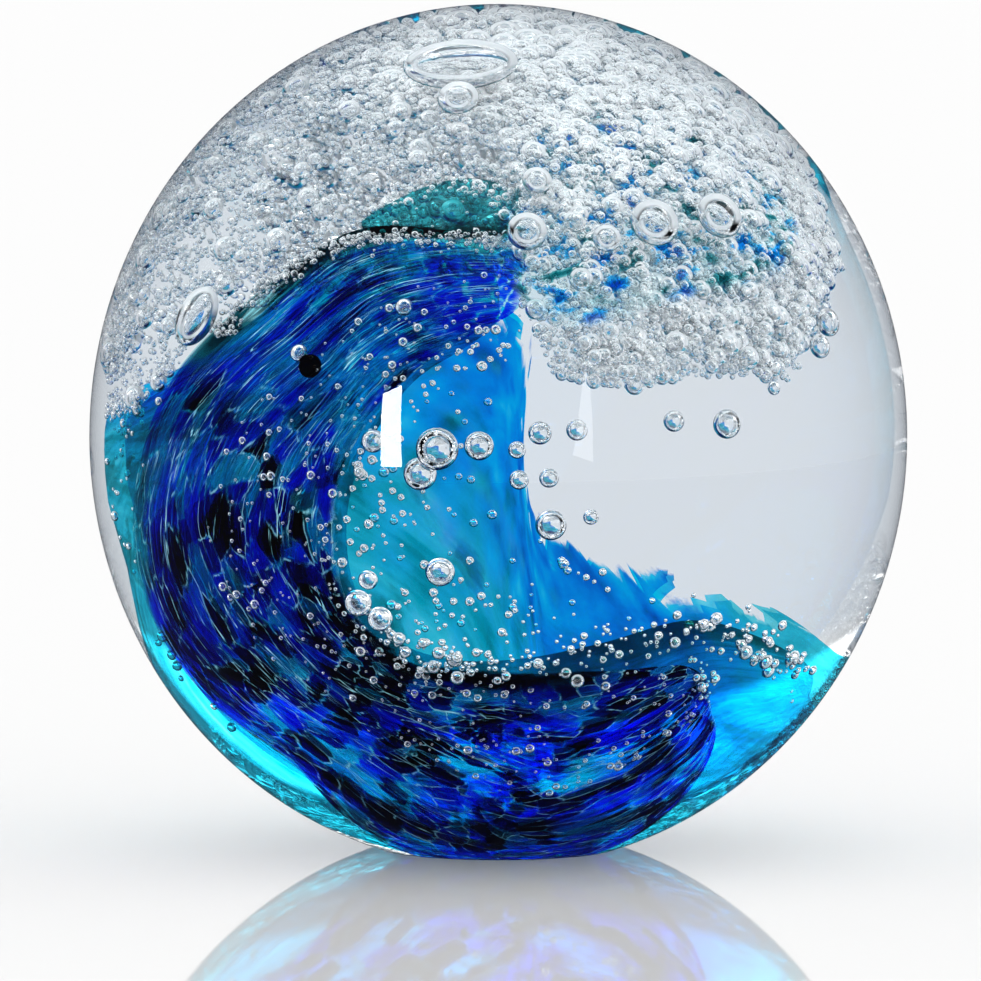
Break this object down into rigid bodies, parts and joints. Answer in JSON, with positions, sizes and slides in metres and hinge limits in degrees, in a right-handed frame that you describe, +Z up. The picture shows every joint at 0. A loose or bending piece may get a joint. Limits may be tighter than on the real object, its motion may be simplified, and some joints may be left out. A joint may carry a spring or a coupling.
{
  "type": "glass wave paperweight",
  "caption": "Heavy clear glass ball on a small ground base, holding a curling cobalt and turquoise glass wave, a cap of fine foam and trapped air bubbles.",
  "frame": {"origin": "centre of the ground base, on the surface the ball stands on", "axes": "+Z up through the ball; -Y towards the side that the wave faces; +X to the right of that side"},
  "size_m": [0.08, 0.08, 0.0826],
  "materials": {
    "clear_glass": "polished clear glass with a faint cool tint",
    "turquoise_glass": "see-through turquoise glass with paler streaks",
    "cobalt_glass": "deep cobalt glass, broken up by a net of turquoise",
    "teal_glass": "see-through dark teal glass",
    "azure_glass": "see-through azure glass",
    "foam_glass": "clear glass full of fine bubbles"
  },
  "bodies": {
    "root": {"clear_casing": "clear_glass", "clear_core": "clear_glass", "turquoise_bowl": "turquoise_glass", "cobalt_wave": "cobalt_glass", "crest_tongue": "teal_glass", "azure_spray": "azure_glass", "foam_cap": "foam_glass"}
  },
  "joints": []
}
